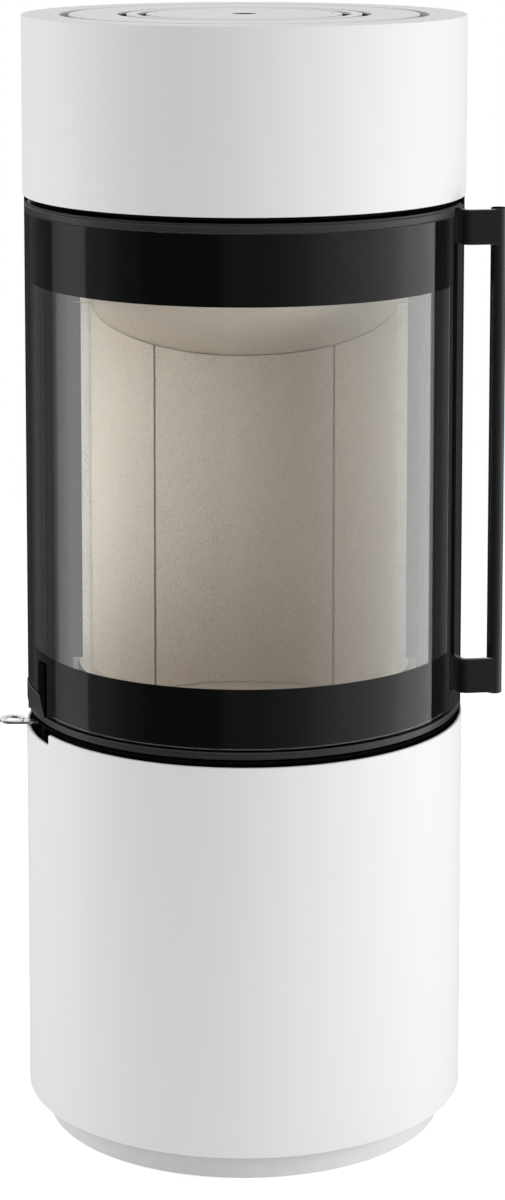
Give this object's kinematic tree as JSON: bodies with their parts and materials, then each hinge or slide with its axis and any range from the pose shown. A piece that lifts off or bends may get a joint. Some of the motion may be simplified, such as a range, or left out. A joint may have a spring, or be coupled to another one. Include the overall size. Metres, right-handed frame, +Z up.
{
  "type": "round wood stove",
  "caption": "Round wood stove: white sheet-steel casings above and below a black firebox band, curved glass door, vertical bar handle and air lever.",
  "frame": {"origin": "centre of the base plate's underside, on the floor", "axes": "+Z up, -Y towards the front with the glass door, +X towards the right of someone facing the door"},
  "size_m": [0.5347, 0.487, 1.1926],
  "materials": {
    "white_paint": "matte white stove paint",
    "black_paint": "satin black stove paint",
    "dark_rail": "dark grey stove paint",
    "raw_steel": "bare sheet steel",
    "stainless": "polished stainless steel",
    "vermiculite": "matte pressed fire board",
    "cast_iron": "rough cast iron",
    "fibre_rope": "woven glass-fibre rope",
    "clear_glass": "clear ceramic glass with a black printed border"
  },
  "bodies": {
    "stove": {"air_spigot": "raw_steel", "ash_pit": "black_paint", "baffle": "vermiculite", "base_casing": "white_paint", "base_deck": "black_paint", "base_plate": "black_paint", "catch_spring": "stainless", "crown_ring": "black_paint", "firebox_body": "black_paint", "firebox_floor": "black_paint", "firebox_roof": "black_paint", "floor_stone": "vermiculite", "flue_collar": "black_paint", "frame_lintel": "black_paint", "frame_post_left": "black_paint", "frame_post_right": "black_paint", "frame_sill": "black_paint", "hearth_lip": "vermiculite", "hearth_ring": "black_paint", "hinge_pin_bottom": "stainless", "hinge_pin_top": "stainless", "hinge_washer": "stainless", "levelling_screw_1": "raw_steel", "levelling_screw_2": "raw_steel", "levelling_screw_3": "raw_steel", "levelling_screw_4": "raw_steel", "lining_back": "vermiculite", "lining_left": "vermiculite", "lining_right": "vermiculite", "outer_shell": "black_paint", "pedestal": "black_paint", "plinth_ring": "white_paint", "rear_heat_shield": "raw_steel", "shutter_bolt": "raw_steel", "shutter_nut": "raw_steel", "smoke_dome": "black_paint", "smoke_shelf": "raw_steel", "top_casing": "white_paint", "top_cover_ring": "white_paint", "top_middle_ring": "white_paint", "top_outlet_plug": "black_paint", "top_spider": "black_paint"},
    "door": {"door_glass": "clear_glass", "door_top_rail": "dark_rail", "door_bottom_rail": "dark_rail", "hinge_stile": "black_paint", "handle_stile": "black_paint", "glass_seal_top": "fibre_rope", "glass_seal_bottom": "fibre_rope", "door_gasket": "fibre_rope", "corner_cover": "dark_rail", "handle_bracket_top": "black_paint", "handle_bracket_bottom": "black_paint", "handle_bar": "black_paint", "catch_stud": "stainless"},
    "air_control": {"air_shutter": "raw_steel", "air_lever": "stainless"},
    "lid": {"lid": "white_paint"},
    "ash_insert": {"ash_pan": "raw_steel", "grate": "cast_iron"}
  },
  "joints": [
    {"name": "door_hinge", "type": "hinge", "parent": "stove", "child": "door", "pos_m": [-0.22431, -0.02754, 0.724], "axis": [0, 0, -1], "range_deg": [0, 110]},
    {"name": "air_lever_turn", "type": "hinge", "parent": "stove", "child": "air_control", "pos_m": [0, 0, 0.35], "axis": [0, 0, 1], "range_deg": [-18, 18]},
    {"name": "lid_lift", "type": "slide", "parent": "stove", "child": "lid", "axis": [0, 0, 1], "range_m": [0, 0.08]},
    {"name": "ash_insert_lift", "type": "slide", "parent": "stove", "child": "ash_insert", "axis": [0, 0, 1], "range_m": [0, 0.12]}
  ]
}
